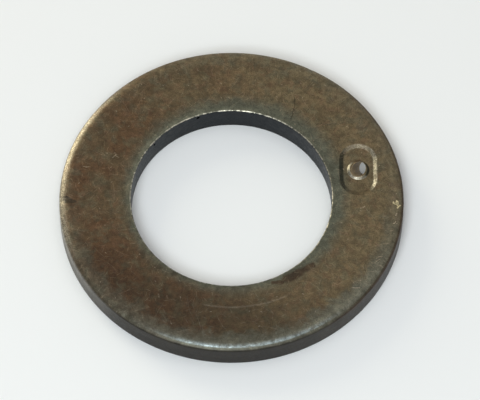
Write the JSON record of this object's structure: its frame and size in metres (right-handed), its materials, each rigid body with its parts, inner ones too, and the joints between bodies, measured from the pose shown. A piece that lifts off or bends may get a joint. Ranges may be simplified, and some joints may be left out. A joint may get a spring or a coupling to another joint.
{
  "type": "flat washer",
  "caption": "Thick round flat washer with a plain bolt hole, a rolled outer edge, and a shallow recess in one face with a small slanting hole through its boss.",
  "frame": {"origin": "centre of the underside, on the axis of the bolt hole", "axes": "+Z along the axis of the bolt hole, from the plain underside to the face with the recess; the recess lies 14 degrees from +X towards +Y"},
  "size_m": [0.072, 0.072, 0.006],
  "materials": {
    "steel": "worn steel under a brown oxide film, with bare edges"
  },
  "bodies": {
    "root": {"washer": "steel"}
  },
  "joints": []
}
